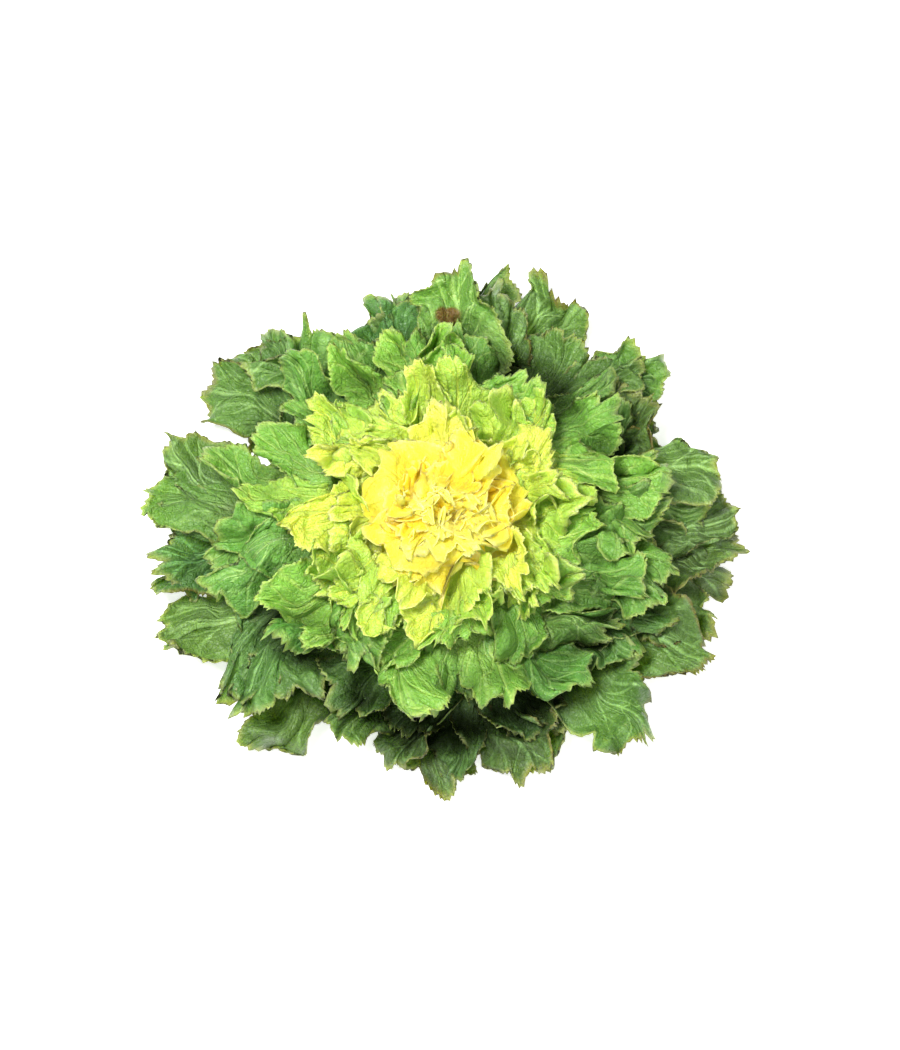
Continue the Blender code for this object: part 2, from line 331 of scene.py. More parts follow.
def between(pair, share):
    return pair[0] + (pair[1] - pair[0]) * share


def stem_radius(height):
    return between((STEM_RADIUS, STEM_TOP_RADIUS), min(1.0, height / STEM_TOP))


def core_radius(height):
    """Radius of the heart's core: a cone from its foot to its waist, and half an egg above."""
    if height < CORE_WAIST:
        return between((CORE_FOOT_RADIUS, CORE_RADIUS), (height - STEM_TOP) / (CORE_WAIST - STEM_TOP))
    rise = min(1.0, (height - CORE_WAIST) / (CORE_TOP - CORE_WAIST))
    return CORE_RADIUS * math.sqrt(1.0 - rise * rise)


def root_surface(height):
    """Radius of what the leaf bases are sunk into at this height: a ring, or the heart's core."""
    return stem_radius(height) + RING_WALL if height < STEM_TOP else core_radius(height)


def reach_share(azimuth):
    """How far the head reaches on this side, against its mean reach."""
    uneven = (REACH_SIDE * math.cos(azimuth) + REACH_BACK * math.sin(azimuth)
              + REACH_WIDE * math.cos(2.0 * azimuth))
    return 1.0 + uneven / HEAD_REACH


def leaf_numbers(leaf_set, share, azimuth, reach, draw):
    """What shapes one leaf: where its rib starts and how it bends, its width, ruffles and age."""
    age = between(leaf_set.ages, share)
    sag = between(OUTER_SAGS, share) if leaf_set is LEAF_SETS[0] else 1.0
    down = math.radians(90.0) * age
    flat = 2.0 / DOME_ROUNDNESS
    tip_radius = reach * math.sin(down) ** flat
    tip_height = RIM_HEIGHT + (DOME_TOP - RIM_HEIGHT) * sag * math.cos(down) ** flat
    root_height = between(leaf_set.roots, share)
    root_radius = root_surface(root_height) - ROOT_DEPTH
    run = tip_radius - root_radius
    rise = tip_height - root_height

    def stray(most):
        return draw.uniform(-most, most)

    arch = math.radians(between(leaf_set.arches, share) + stray(ARCH_STRAY))
    return {
        "azimuth": azimuth,
        "root_radius": root_radius,
        "root_height": root_height,
        "arch": arch,
        "length": math.hypot(run, rise) * arch / math.sin(arch),
        "slope": math.atan2(rise, run) + arch,
        "half_width": between(leaf_set.half_widths, share) * draw.uniform(*WIDTH_STRAY) * leaf_set.breadth,
        "ruffle": leaf_set.ruffle * draw.uniform(*RUFFLE_STRAY),
        "waves": draw.uniform(*WAVES),
        "phase": draw.uniform(0.0, 2.0 * math.pi),
        "sway": stray(SWAY),
        "roll": stray(ROLL),
        "lift": draw.uniform(*leaf_set.lifts),
        "age": age,
        # The pale side's paler tone is partly painted light
        "tone": stray(TONE) - PALE_TONE * math.cos(azimuth - PALE_SIDE),
        "number": draw.uniform(*NUMBERS),
        "twist": stray(TWIST),
        "fold": draw.uniform(*FOLDS),
        "drop": draw.uniform(*leaf_set.drops),
        "shorter": draw.uniform(*SHORTER),
        "turn": stray(TURN),
        "bend": stray(BEND),
        "bank": stray(BANK),
    }


def leaves_of(leaf_set, first):
    """The leaves of a set, by the golden angle. The lowest ones end at the places listed above."""
    leaves = []
    for i in range(leaf_set.leaf_count):
        draw = random.Random(SEED * 1000 + first + i)
        share = i / (leaf_set.leaf_count - 1)
        azimuth = (first + i) * GOLDEN_ANGLE + draw.uniform(-AZIMUTH_STRAY, AZIMUTH_STRAY)
        reach = HEAD_REACH * reach_share(azimuth) * draw.uniform(*REACH_STRAY)
        if first + i < len(RIM_LEAVES):
            degrees, reach, lift = RIM_LEAVES[(first + i) * RIM_STEP % len(RIM_LEAVES)]
            leaf = leaf_numbers(leaf_set, share, math.radians(degrees), reach, draw)
            leaf["lift"] = lift
            leaf["drop"] = 0.0
            leaf["bend"] = 0.0
        else:
            leaf = leaf_numbers(leaf_set, share, azimuth, reach, draw)
            leaf["length"] *= leaf["shorter"]
            leaf["azimuth"] += leaf["turn"]
        leaves.append(leaf)
    return leaves


def small_leaves_of(leaf_set, first):
    """Small leaves between those of a set, at any azimuth."""
    leaves = []
    for i in range(leaf_set.small_count):
        draw = random.Random(SEED * 2000 + first + i)
        azimuth = i * GOLDEN_ANGLE + draw.uniform(-SMALL_AZIMUTH_STRAY, SMALL_AZIMUTH_STRAY)
        reach = HEAD_REACH * reach_share(azimuth) * draw.uniform(*REACH_STRAY)
        leaf = leaf_numbers(leaf_set, draw.uniform(*SMALL_SHARES), azimuth, reach, draw)
        leaf["half_width"] *= draw.uniform(*SMALL_WIDTHS)
        leaves.append(leaf)
    return leaves


def linear(hex_colour):
    """An sRGB hex value as the linear red, green and blue that shaders take."""
    parts = [int(hex_colour[i:i + 2], 16) / 255.0 for i in (1, 3, 5)]
    return [p / 12.92 if p <= 0.04045 else ((p + 0.055) / 1.055) ** 2.4 for p in parts]


def add_node(tree, kind, inputs=(), **settings):
    """Adds a node to a tree, with its settings, and fills its inputs with values or with links."""
    node = tree.nodes.new(kind)
    for name, value in settings.items():
        setattr(node, name, value)
    for key, value in dict(inputs).items():
        value = getattr(value, "socket", value)
        if isinstance(value, bpy.types.NodeSocket):
            tree.links.new(value, node.inputs[key])
        else:
            node.inputs[key].default_value = value
    return node


class Field:
    """A number that varies over a surface. Arithmetic on it adds Math nodes to its tree."""

    def __init__(self, socket):
        self.socket = socket

    def math(self, operation, *others):
        numbers = enumerate((self, *others))
        node = add_node(self.socket.id_data, "ShaderNodeMath", numbers, operation=operation)
        return Field(node.outputs[0])

    def __add__(self, other):
        return self.math("ADD", other)

    def __mul__(self, other):
        return self.math("MULTIPLY", other)

    def __sub__(self, other):
        return self.math("SUBTRACT", other)

    def __rsub__(self, other):
        return self.math("MULTIPLY_ADD", -1.0, other)

    def __truediv__(self, other):
        return self.math("DIVIDE", other)

    def __pow__(self, other):
        return self.math("POWER", other)

    def mapped(self, low, high, start=0.0, end=1.0):
        """Runs smoothly from start to end while this number goes from low to high."""
        node = add_node(self.socket.id_data, "ShaderNodeMapRange", enumerate((self, low, high, start, end)),
                        interpolation_type="SMOOTHSTEP")
        return Field(node.outputs[0])

    __radd__ = __add__
    __rmul__ = __mul__


def parts_of(vector):
    """The x, y and z of a vector socket, as fields."""
    node = add_node(vector.id_data, "ShaderNodeSeparateXYZ", {0: vector})
    return [Field(output) for output in node.outputs]


def vector_of(tree, x, y, z):
    return add_node(tree, "ShaderNodeCombineXYZ", enumerate((x, y, z))).outputs[0]


def noise_field(tree, place, pattern, seed=0.0):
    """Noise from -1 to 1 at a place. The pattern's number and the seed pick one of many."""
    node = add_node(tree, "ShaderNodeTexNoise", {
        "Vector": place, "W": seed + pattern.number, "Scale": pattern.repeats, "Detail": pattern.detail},
        noise_dimensions="4D")
    return Field(node.outputs[0]) * 2.0 - 1.0


# The inputs of the blade tree: name, kind of socket, and the setting that fills it
TREE_INPUTS = (
    ("Points across", "Int", None),
    ("Points along", "Int", None),
    ("Thickness", "Float", "thickness"),
    ("Stalk share", "Float", "stalk_share"),
    ("Stalk thickness", "Float", "stalk_thickness"),
    ("Lobe depth", "Float", "lobe_depth"),
    ("Tooth depth", "Float", "tooth_depth"),
    ("Curl", "Float", "curl"),
    ("Frill", "Float", "frill"),
    ("Crinkle", "Float", "crinkle"),
    ("Seed", "Int", "seed"),
    ("Material", "Material", None),
)


def blank_blade(tree, given):
    """A closed double sheet of points: x is -1 to 1 across, y is 0 to 1 along, z tells its two sides."""
    grid = add_node(tree, "GeometryNodeMeshGrid", {
        "Size X": 2.0, "Size Y": 1.0,
        "Vertices X": given["Points across"], "Vertices Y": given["Points along"]})
    x, y, _ = parts_of(add_node(tree, "GeometryNodeInputPosition").outputs[0])
    inside = (x.math("ABSOLUTE").math("LESS_THAN", INSIDE)
              * y.math("ABSOLUTE").math("LESS_THAN", 0.5 * INSIDE))
    column = (x + 1.0) * 0.5 * (Field(given["Points across"]) - 1.0)
    row = (y + 0.5) * (Field(given["Points along"]) - 1.0)
    numbered = add_node(tree, "GeometryNodeStoreNamedAttribute", {
        "Geometry": grid.outputs["Mesh"], "Name": "plan_cell", "Value": vector_of(tree, column, row, 0.0)},
        data_type="FLOAT_VECTOR", domain="POINT").outputs[0]
    across = x * (1.0 + COLUMN_CROWDING - x * x * COLUMN_CROWDING)
    along = (y + 0.5).math("MAXIMUM", 0.0) ** ROW_SPACING
    sides = []
    for side in (1.0, -1.0):
        placed = add_node(tree, "GeometryNodeSetPosition", {
            "Geometry": numbered, "Position": vector_of(tree, across, along, inside * side)})
        sides.append(placed.outputs[0])
    flipped = add_node(tree, "GeometryNodeFlipFaces", {"Mesh": sides[0]})
    both = add_node(tree, "GeometryNodeJoinGeometry")
    tree.links.new(flipped.outputs[0], both.inputs[0])
    tree.links.new(sides[1], both.inputs[0])
    closed = add_node(tree, "GeometryNodeMergeByDistance", {
        "Geometry": both.outputs[0], "Distance": MERGE_DISTANCE})
    return add_node(tree, "GeometryNodeStoreNamedAttribute", {
        "Geometry": closed.outputs[0], "Name": "blade",
        "Value": add_node(tree, "GeometryNodeInputPosition").outputs[0]},
        data_type="FLOAT_VECTOR", domain="POINT").outputs[0]


def outline_blade(tree, at):
    """Lays the blade flat, x across and s along: a narrow stalk, a wide fan and a round end."""
    half = at.half_width * (at.stalk + (1.0 - at.stalk) * at.along.mapped(STALK_END, FAN_FULL))
    at.end = ((at.along - END_START) / (1.0 - END_START)).math("MAXIMUM", 0.0)
    at.x = at.across * half * (1.0 - at.end * at.end * ROUNDNESS).math("SQRT")
    round_end = (1.0 - at.across * at.across * ROUNDNESS).math("SQRT")
    at.s = at.length * (at.along.math("MINIMUM", END_START) + at.end * round_end * (1.0 - END_START))

    # Where a point is in the fan: its angle, how far out it is, and how near the rim
    fan_x = at.x / at.half_width
    fan_y = ((at.along - FAN_START) / (1.0 - FAN_START)).math("MAXIMUM", 0.0)
    at.spread = fan_x * fan_x + fan_y * fan_y
    at.angle = fan_x.math("ARCTAN2", fan_y + FOLD_EASE)
    at.rim = at.across.math("ABSOLUTE").math("SMOOTH_MAX", at.end, RIM_BLEND)
    at.rim_place = vector_of(tree, at.angle, 0.0, 0.0)
    at.fringe = at.along.mapped(*FRINGE)


def push_rim(tree, at):
    """Pushes the rim out and in: wide bays, scallops between them, and uneven teeth."""
    bays = noise_field(tree, at.rim_place, BAYS, at.seed).math("MINIMUM", BAY_LIMIT)
    drift = noise_field(tree, at.rim_place, SCALLOP_PLACES, at.seed) * SCALLOP_DRIFT
    scallops = (at.angle * SCALLOPS_PER_RADIAN + drift).math("SINE").math("ABSOLUTE")
    lobes = (bays * BAY_SHARE + (scallops - SCALLOP_LEVEL) * SCALLOP_SHARE) * at.given["Lobe depth"]
    side_teeth = at.row.math("PINGPONG", 1.0) * at.across.math("ABSOLUTE").mapped(*SIDE_TEETH)
    end_teeth = at.column.math("PINGPONG", 1.0) * at.end.mapped(*END_TEETH)
    uneven = noise_field(tree, at.rim_place, TOOTH_SIZES, at.seed).mapped(*TOOTH_UNEVEN)
    teeth = side_teeth.math("MAXIMUM", end_teeth) * uneven * at.given["Tooth depth"]
    push = lobes * at.size * at.rim.mapped(*LOBES_FROM) + teeth * (at.size + SMALL_TOOTH) * TOOTH_SHARE
    at.x = at.x + push * at.fringe * at.angle.math("SINE")
    at.s = at.s + push * at.fringe * at.angle.math("COSINE")


def ruffle_blade(tree, at):
    """Gives the blade its height h over the rib's plane: ruffles, buckles, frill, curl and crinkles."""
    leaf = at.leaf
    sheet = vector_of(tree, at.x / at.size, at.s / at.size, 0.0)
    fan = at.along.mapped(0.35, 0.75) * at.size

    def noise(pattern):
        return noise_field(tree, sheet, pattern, at.seed)

    # Waves that grow towards the rim, with finer ones on them
    drift = noise_field(tree, at.rim_place, WAVE_PLACES, at.seed) * WAVE_DRIFT
    uneven = noise_field(tree, at.rim_place, WAVE_HEIGHTS, at.seed).mapped(*WAVE_UNEVEN)
    strength = leaf["ruffle"] * uneven
    wave = leaf["waves"] * (at.angle + drift) + leaf["phase"]
    h = strength * at.spread * wave.math("SINE")
    h = h + strength * FINE_WAVE * (at.spread ** 1.5) * (wave * FINE_WAVES + leaf["number"]).math("SINE")

    # Buckles and dimples of the whole fan, which also shift it sideways
    h = h + noise(BUCKLES) * BUCKLE_HEIGHT * fan
    h = h + noise(DIMPLES) * DIMPLE_HEIGHT * fan
    at.x = at.x + noise(SHIFTS_ACROSS) * SHIFT_ACROSS * fan
    at.s = at.s + noise(SHIFTS_ALONG) * SHIFT_ALONG * fan
    at.x = at.x + strength * WAVE_LEAN * at.spread * (wave * 2.0).math("SINE")

    # How the whole blade is twisted, folded along its rib and let down at its end
    h = h + leaf["twist"] * at.x * at.along.mapped(0.3, 1.0)
    h = h + leaf["fold"] * at.x.math("ABSOLUTE") * at.along.mapped(0.2, 0.8)
    h = h - leaf["drop"] * at.along.mapped(0.66, 1.08)

    # A finer frill at the rim, which is stronger on old leaves, and the rim's curl up or down
    frill = at.given["Frill"] * noise_field(tree, at.rim_place, FRILLS, at.seed) * at.rim.mapped(0.5, 1.05)
    h = h + frill * at.fringe * at.size * leaf["age"].mapped(0.4, 1.0, 1.0, 1.4)
    curl = noise_field(tree, at.rim_place, CURLS, at.seed) * (at.rim.mapped(0.4, 1.1) ** 2.0) * at.fringe
    h = h + at.given["Curl"] * curl * at.size
    at.s = at.s - at.given["Curl"] * curl.math("ABSOLUTE") * at.size * CURL_SHORTENS

    # Crinkles between the veins, which young leaves have less of
    crinkle = noise(CRINKLES) * at.size * leaf["age"].mapped(0.1, 0.6, 0.4, 1.0)
    h = h + at.given["Crinkle"] * crinkle * at.along.mapped(0.1, 0.6)

    # The blade's tilt about its rib, and how far its end is lifted
    h = h + (leaf["roll"] + leaf["bank"]) * at.x * at.along
    at.h = h + leaf["lift"] * at.along.mapped(LIFT_FROM, 1.0)


def bend_blade(tree, at):
    """Bends the blade along its rib, an arc that leaves the stem at its base slope, and settles it."""
    leaf = at.leaf

    # The arc's chord, from the first terms of the series for a sine
    bend = leaf["arch"] * at.s / at.length
    bend_squared = bend * bend
    chord = at.s * (1.0 - bend_squared / 6.0 + bend_squared * bend_squared / 120.0)
    slope = leaf["slope"] - bend * 2.0
    rise = leaf["slope"] - bend
    rib_radius = leaf["root_radius"] + chord * rise.math("COSINE")
    rib_azimuth = leaf["azimuth"] + (leaf["sway"] + leaf["bend"]) * at.along * at.along
    wrap = rib_radius.math("MAXIMUM", WRAP_RADIUS)
    azimuth = rib_azimuth + at.x / wrap
    short = rib_radius - wrap
    radius = wrap - at.h * slope.math("SINE")
    height = leaf["root_height"] + chord * rise.math("SINE") + at.h * slope.math("COSINE")
    height = height.math("MAXIMUM", at.thick + FLOOR_CLEARANCE)

    # The slow rises and dips that all leaves share
    flat_x = radius * azimuth.math("COSINE") + short * rib_azimuth.math("COSINE")
    flat_y = radius * azimuth.math("SINE") + short * rib_azimuth.math("SINE")
    waves = ((flat_x * UNEVEN_PER_METRE[0] + UNEVEN_START[0]).math("SINE")
             + (flat_y * UNEVEN_PER_METRE[1] + UNEVEN_START[1]).math("SINE"))
    settle = radius.mapped(*UNEVEN_RADII) * height.mapped(*UNEVEN_HEIGHTS) * waves * (UNEVEN * 0.5)

    # Neighbours lean and sink together
    spot = vector_of(tree, flat_x, flat_y, height)
    loose = height.mapped(*WARP_HEIGHTS) * WARP
    warped_x = flat_x + noise_field(tree, spot, LEAN_TO_SIDE) * loose
    warped_y = flat_y + noise_field(tree, spot, LEAN_TO_BACK) * loose
    sunk = noise_field(tree, spot, HOLLOWS).mapped(*SINK_WHERE) * loose * SINK
    top = (height + settle + sunk).math("SMOOTH_MIN", CEILING, CEILING_EASE)
    return vector_of(tree, warped_x, warped_y, top)


def blade_tree():
    """The node tree that turns a plan of leaves into closed, ruffled and toothed blades."""
    tree = bpy.data.node_groups.new("endive blades", "GeometryNodeTree")
    tree.interface.new_socket("Geometry", in_out="INPUT", socket_type="NodeSocketGeometry")
    for name, kind, _ in TREE_INPUTS:
        tree.interface.new_socket(name, in_out="INPUT", socket_type="NodeSocket" + kind)
    tree.interface.new_socket("Geometry", in_out="OUTPUT", socket_type="NodeSocketGeometry")
    given = add_node(tree, "NodeGroupInput").outputs
    result = add_node(tree, "NodeGroupOutput")

    def attribute(name, kind="FLOAT"):
        return add_node(tree, "GeometryNodeInputNamedAttribute", {"Name": name}, data_type=kind).outputs[0]

    instances = add_node(tree, "GeometryNodeInstanceOnPoints", {
        "Points": given["Geometry"], "Instance": blank_blade(tree, given)})
    blades = add_node(tree, "GeometryNodeRealizeInstances", {"Geometry": instances.outputs[0]}).outputs[0]

    # What is known of each point: its place on the blank blade, and its leaf's numbers
    at = SimpleNamespace(given={name: Field(given[name]) for name, _, setting in TREE_INPUTS if setting})
    at.leaf = {name: Field(attribute("plan_" + name)) for name in leaves_of(LEAF_SETS[0], 0)[0]}
    at.across, at.along, _ = parts_of(attribute("blade", "FLOAT_VECTOR"))
    at.column, at.row, _ = parts_of(attribute("plan_cell", "FLOAT_VECTOR"))
    at.stalk = at.given["Stalk share"]
    at.length = at.leaf["length"]
    at.half_width = at.leaf["half_width"]
    at.size = at.half_width / FULL_HALF_WIDTH * (at.length / FULL_LENGTH).math("MINIMUM", 1.0)
    at.seed = at.given["Seed"] + at.leaf["number"]

    # Half the thickness: a fleshy stalk that thins out into the blade
    thin = at.given["Thickness"]
    fleshy = (1.0 - at.along.mapped(*STALK_THINS)) * (1.0 - at.across * at.across * STALK_SIDES_THIN)
    at.thick = (thin + (at.given["Stalk thickness"] - thin) * fleshy) * 0.5

    outline_blade(tree, at)
    push_rim(tree, at)
    ruffle_blade(tree, at)
    middle = add_node(tree, "GeometryNodeSetPosition", {
        "Geometry": blades, "Position": bend_blade(tree, at)}).outputs[0]

    # What the materials read
    for name, value in (
            ("fan", vector_of(tree, at.angle, at.spread.math("SQRT"), at.rim)),
            ("leaf", vector_of(tree, at.leaf["age"], at.leaf["tone"], at.leaf["number"]))):
        middle = add_node(tree, "GeometryNodeStoreNamedAttribute", {
            "Geometry": middle, "Name": name, "Value": value},
            data_type="FLOAT_VECTOR", domain="POINT").outputs[0]

    normal = add_node(tree, "GeometryNodeInputNormal").outputs[0]
    offset = add_node(tree, "ShaderNodeVectorMath", {0: normal, "Scale": at.thick}, operation="SCALE")
    solid = add_node(tree, "GeometryNodeSetPosition", {
        "Geometry": middle, "Offset": offset.outputs[0]}).outputs[0]
    solid = add_node(tree, "GeometryNodeRemoveAttribute", {"Geometry": solid, "Name": "plan_*"},
                     pattern_mode="WILDCARD").outputs[0]
    solid = add_node(tree, "GeometryNodeSetShadeSmooth", {"Geometry": solid}).outputs[0]
    solid = add_node(tree, "GeometryNodeRealizeInstances", {"Geometry": solid}).outputs[0]
    solid = add_node(tree, "GeometryNodeSetMaterial", {"Geometry": solid, "Material": given["Material"]})
    tree.links.new(solid.outputs[0], result.inputs[0])
    return tree


def plan_mesh(name, leaves):
    """One point for each leaf, with its numbers as attributes."""
    mesh = bpy.data.meshes.new(name)
    mesh.from_pydata([(0.0, 0.0, 0.0)] * len(leaves), [], [])
    for key in leaves[0]:
        values = mesh.attributes.new("plan_" + key, "FLOAT", "POINT")
        values.data.foreach_set("value", [leaf[key] for leaf in leaves])
    return mesh


def grown(name, leaves, tree, inputs):
    """Runs the tree on a plan of leaves, and keeps the result as a plain mesh."""
    obj = bpy.data.objects.new(name, plan_mesh(name, leaves))
    bpy.context.scene.collection.objects.link(obj)
    modifier = obj.modifiers.new("Blades", "NODES")
    modifier.node_group = tree
    for item in tree.interface.items_tree:
        if item.in_out == "INPUT" and item.name in inputs:
            modifier[item.identifier] = inputs[item.name]
    graph = bpy.context.evaluated_depsgraph_get()
    mesh = bpy.data.meshes.new_from_object(obj.evaluated_get(graph))
    obj.modifiers.clear()
    obj.data = mesh
    mesh.name = name
    return obj


def ramp(tree, age, colours, stops):
    """A colour that runs through those of the settings, from the innermost leaf to the lowest."""
    node = add_node(tree, "ShaderNodeValToRGB", {0: age})
    elements = node.color_ramp.elements
    while len(elements) < len(stops):
        elements.new(0.5)
    for element, (name, place) in zip(elements, stops.items()):
        element.position = place
        element.color = (*getattr(colours, name), 1.0)
    return node.outputs[0]


def mixed(tree, share, first, second, blend="MIX"):
    """Two colours mixed: none of the second at a share of 0, all of it at 1."""
    first, second = [c if isinstance(c, bpy.types.NodeSocket) else (*c, 1.0) for c in (first, second)]
    inputs = {0: share, 6: first, 7: second}
    return add_node(tree, "ShaderNodeMix", inputs, data_type="RGBA", blend_type=blend).outputs[2]


def leaf_places(tree):
    """What the leaf tissue reads: a point's place on blade, fan and head, its leaf and its noise."""
    at = SimpleNamespace(place=add_node(tree, "ShaderNodeTexCoord").outputs["Object"])
    attributes = {}
    for name in ("blade", "fan", "leaf"):
        node = add_node(tree, "ShaderNodeAttribute", attribute_name=name)
        attributes[name] = parts_of(node.outputs["Vector"])
    at.across, at.along, side = attributes["blade"]
    at.angle, at.spread, at.rim = attributes["fan"]
    at.age, at.tone, at.number = attributes["leaf"]
    at.upper = side.mapped(-0.5, 0.5)
    at.x, at.y, at.z = parts_of(at.place)
    at.patches = noise_field(tree, at.place, PATCHES)
    at.grain = noise_field(tree, at.place, GRAIN)
    at.pale_side = (at.x * math.cos(PALE_SIDE) + at.y * math.sin(PALE_SIDE)) / HEAD_REACH

    # How far out on the head's dome a point lies: 1 on the dome itself, less inside it
    at.out = (at.x * at.x + at.y * at.y).math("SQRT") / HEAD_REACH
    up = ((at.z - RIM_HEIGHT) / (DOME_TOP - RIM_HEIGHT)).math("MAXIMUM", 0.0)
    at.outside = at.out ** DOME_ROUNDNESS + up ** DOME_ROUNDNESS + at.patches * 0.03 + at.tone * 0.02
    return at


def leaf_veins(tree, at):
    """Veins that fan out from the rib and split in two halfway, side branches and the midrib."""
    bent = at.angle + at.patches * 0.03 + noise_field(tree, at.place, VEIN_WOBBLE) * 0.02
    coarse = (bent * COARSE_VEINS + at.number).math("COSINE").mapped(0.80, 1.0)
    fine = (bent * FINE_VEINS + at.number).math("COSINE").mapped(0.70, 1.0) * at.spread.mapped(0.35, 0.7)
    beside = (at.spread * at.angle.math("SINE")).math("ABSOLUTE")
    ahead = at.spread * at.angle.math("COSINE") * 1.9 - beside * 1.2 + at.patches * 0.03
    branches = (ahead * BRANCHES + at.number).math("COSINE").mapped(0.86, 1.0) * beside.mapped(0.9, 0.3)
    midrib = (beside + at.along * 0.03).mapped(0.035, 0.075, 1.0, 0.0)
    veins = coarse.math("MAXIMUM", fine * 0.6) * 0.6 + branches * 0.7
    return veins.math("MAXIMUM", midrib * 1.1) * at.rim.mapped(0.85, 1.02, 1.0, 0.25)


def leaf_net(tree, at):
    """The net of the finest veins, whose fields are 3 mm wide."""
    net = add_node(tree, "ShaderNodeTexVoronoi", {"Vector": at.place, "Scale": NET_PER_METRE},
                   feature="DISTANCE_TO_EDGE")
    return Field(net.outputs[0]).mapped(0.0, 0.12, 1.0, 0.0)


def leaf_shade(at):
    """Painted shade: how dark a point is painted for lying between leaves, deep in the head, near a base,
    or by the floor.
    """
    covered = (at.along + at.pale_side * 0.02).mapped(0.46, 0.66, 1.0, 0.0)
    deep = at.outside.mapped(0.58, 0.82, 1.0, 0.0).math("MAXIMUM", covered) * at.age.mapped(0.38, 0.56)
    low = (at.z + at.patches * 0.003).mapped(0.004, 0.013, 0.6, 0.0) * at.out.mapped(0.7, 0.9)
    shade = (deep * at.out.mapped(0.46, 0.70)).math("MAXIMUM", low)
    return shade * at.pale_side.mapped(0.1, 0.8, 1.0, 0.8) * at.upper


def leaf_material(name, colours):
    """Fresh leaf tissue, as grown: a waxy skin over watery cells.

    The skin gives a soft gloss. Young leaves and thin rims are given a painted glow, an emission that
    stands in for light passing through them.
    Veins and blade bases are paler, and the rims of old leaves are browned. Shade where leaves cover each
    other and in the heart's hollows is painted into the colour.
    """
    made = bpy.data.materials.new(name)
    made.use_nodes = True
    tree = made.node_tree
    shader = tree.nodes["Principled BSDF"]
    at = leaf_places(tree)
    veins = leaf_veins(tree, at)
    net = leaf_net(tree, at)
    shade = leaf_shade(at)

    # Colour by age, yellower on the pale side (partly painted light), paler towards the base, in the veins
    # and along the rib
    lean = (at.tone - at.pale_side * 0.4) * at.age.mapped(0.0, 0.6, 0.02, 0.10)
    ripeness = at.age + at.patches * 0.04 + lean
    body = ramp(tree, ripeness, colours, BLADE_STOPS)
    base = ramp(tree, ripeness, colours, BASE_STOPS)
    body = mixed(tree, (at.along + at.patches * 0.12).mapped(0.38, 0.82, 1.0, 0.0), body, base)
    leaf_number = vector_of(tree, at.number, 0.0, 0.0)
    veined = noise_field(tree, leaf_number, VEINED_LEAVES).mapped(-0.4, 0.4, 0.3, 0.8)
    body = mixed(tree, (veins * veined + net * 0.06) * at.age.mapped(0.15, 0.4, 0.1, 1.0), body, base)
    rib = (at.across.math("ABSOLUTE") * 1.6 + at.along * 1.3).mapped(0.5, 1.05, 1.0, 0.0)
    body = mixed(tree, rib * 0.8, body, ramp(tree, at.age, colours, RIB_STOPS))

    # Deep in the heart's hollows the yellow is painted a deeper golden, a painted shade, and some green
    # leaves are bluer than others
    golden = at.outside.mapped(0.66, 0.92, 1.0, 0.0) * at.age.mapped(0.12, 0.32, 1.0, 0.0)
    body = mixed(tree, golden * 0.7, body, colours.golden)
    cool = 1.0 - noise_field(tree, leaf_number, COOL_LEAVES).mapped(-0.2, 0.6, 0.0, 0.28)
    cooler = mixed(tree, 1.0, body, vector_of(tree, cool, 1.0, 1.0), "MULTIPLY")
    body = mixed(tree, at.age.mapped(0.4, 0.7), body, cooler)

    # Lighter and darker patches, lighter on the pale side (partly painted light), a paler rim on young
    # leaves, partly their own colour and partly a painted highlight, and a browned one on old leaves
    light = 1.0 - at.tone * 0.10 + at.patches * at.age.mapped(0.5, 1.0, 0.16, 0.36) + at.grain * 0.07
    body = mixed(tree, 1.0, body, vector_of(tree, light, light, light), "MULTIPLY")
    edge = (at.rim + at.grain * 0.03).mapped(0.9, 1.0)
    body = mixed(tree, edge * 0.5 * at.age.mapped(0.1, 0.5, 1.0, 0.4), body, colours.pale_rim_and_highlight)
    browned = edge * (noise_field(tree, at.place, BROWN_PLACES) + at.age * 1.1).mapped(0.95, 1.25)
    body = mixed(tree, browned * 0.8, body, colours.browned_rim)

    # The withered spot, and last the painted shade between leaves
    spot_x = (at.x - WILTED_SPOT[0]) * WILTED_STRETCH
    spot_y = at.y - WILTED_SPOT[1]
    from_spot = (spot_x * spot_x + spot_y * spot_y).math("SQRT") + at.patches * 0.0015
    wilted = from_spot.mapped(*WILTED_EDGE, 0.85, 0.0) * at.age.mapped(0.6, 0.7)
    body = mixed(tree, wilted, body, colours.wilted)
    body = mixed(tree, shade * 0.96, body, colours.painted_shade_colour)

    # Gloss, dulled where shade is painted, the light inside the blade, and a painted glow of young leaves
    # and thin rims, an emission that stands in for light passing through them
    painted_rim_glow = at.rim.mapped(0.93, 1.0) * at.age.mapped(0.2, 0.8, 0.20, 0.04)
    glow = at.age.mapped(0.1, 0.65, 0.06, 0.0) + painted_rim_glow
    for value, socket in (
            (body, "Base Color"),
            ((0.45 - shade * 0.4).socket, "Specular IOR Level"),
            ((0.38 + at.patches * 0.06 + at.grain * 0.05).socket, "Roughness"),
            (at.age.mapped(0.2, 0.6, 0.6, 0.3).socket, "Subsurface Weight"),
            (body, "Emission Color"),
            (glow.socket, "Emission Strength")):
        tree.links.new(value, shader.inputs[socket])
    shader.inputs["Subsurface Radius"].default_value = (0.8, 1.0, 0.15)
    shader.inputs["Subsurface Scale"].default_value = 0.005
    shader.inputs["IOR"].default_value = 1.42
    made.cycles.emission_sampling = "NONE"

    # Blisters between sunk veins, flatter on young leaves
    height = veins * -0.7 + net * -0.25 + at.grain * 0.4 + noise_field(tree, at.place, BLISTERS) * 1.2
    height = height * at.age.mapped(0.1, 0.4, 0.35, 1.0)
    bump = add_node(tree, "ShaderNodeBump", {"Height": height, "Distance": 0.0013, "Strength": 1.0})
    tree.links.new(bump.outputs[0], shader.inputs["Normal"])
    return made


